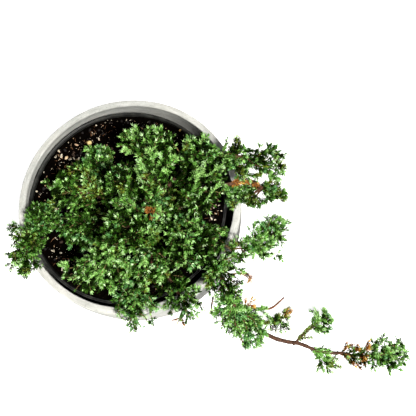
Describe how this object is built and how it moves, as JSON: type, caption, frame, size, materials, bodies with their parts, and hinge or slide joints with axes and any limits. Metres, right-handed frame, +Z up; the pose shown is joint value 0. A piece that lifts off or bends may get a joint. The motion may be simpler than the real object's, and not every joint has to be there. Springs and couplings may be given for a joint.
{
  "type": "juniper bonsai in a round pot",
  "caption": "Low spreading juniper bonsai with dense needle sprays and a long trailing bough, growing in a nursery liner inside a round pale planter.",
  "frame": {"origin": "centre of the planter's flat underside", "axes": "+Z up the planter's axis; +X the way the long trailing bough reaches out; -Y the side the trail leaves the pot on"},
  "size_m": [0.3135, 0.2288, 0.1966],
  "materials": {
    "planter_stone": "matte",
    "liner_plastic": "satin",
    "potting_soil": "matte",
    "bark": "matte",
    "foliage": "satin"
  },
  "bodies": {
    "root": {"bough_bottom_right": "bark", "bough_east": "bark", "bough_left_inner": "bark", "bough_left_outer": "bark", "bough_lower_inner": "bark", "bough_lower_right": "bark", "bough_middle": "bark", "bough_middle_upper": "bark", "bough_north": "bark", "bough_north_east": "bark", "bough_north_west": "bark", "bough_right_outer_lower": "bark", "bough_right_outer_upper": "bark", "bough_right_small": "bark", "bough_right_sprig": "bark", "bough_south": "bark", "bough_south_east": "bark", "bough_south_west": "bark", "bough_top_sprig": "bark", "bough_trail_side": "bark", "bough_trail_start": "bark", "bough_trail_tip": "bark", "bough_trail_under": "bark", "bough_trail_upright": "bark", "bough_trailing": "bark", "bough_upper_left": "bark", "bough_west": "bark", "dead_twig": "bark", "foliage_bottom": "foliage", "foliage_bottom_right": "foliage", "foliage_left_inner": "foliage", "foliage_left_low": "foliage", "foliage_left_outer": "foliage", "foliage_left_upper": "foliage", "foliage_lower_inner": "foliage", "foliage_lower_left": "foliage", "foliage_lower_middle": "foliage", "foliage_lower_right": "foliage", "foliage_middle": "foliage", "foliage_middle_upper": "foliage", "foliage_right": "foliage", "foliage_right_outer_lower": "foliage", "foliage_right_outer_upper": "foliage", "foliage_right_small": "foliage", "foliage_right_sprig": "foliage", "foliage_top": "foliage", "foliage_top_sprig": "foliage", "foliage_trail_inner": "foliage", "foliage_trail_side": "foliage", "foliage_trail_start": "foliage", "foliage_trail_tip": "foliage", "foliage_trail_under": "foliage", "foliage_trail_upright": "foliage", "foliage_upper_left": "foliage", "foliage_upper_right": "foliage", "liner": "liner_plastic", "planter": "planter_stone", "soil": "potting_soil", "trunk": "bark"}
  },
  "joints": []
}
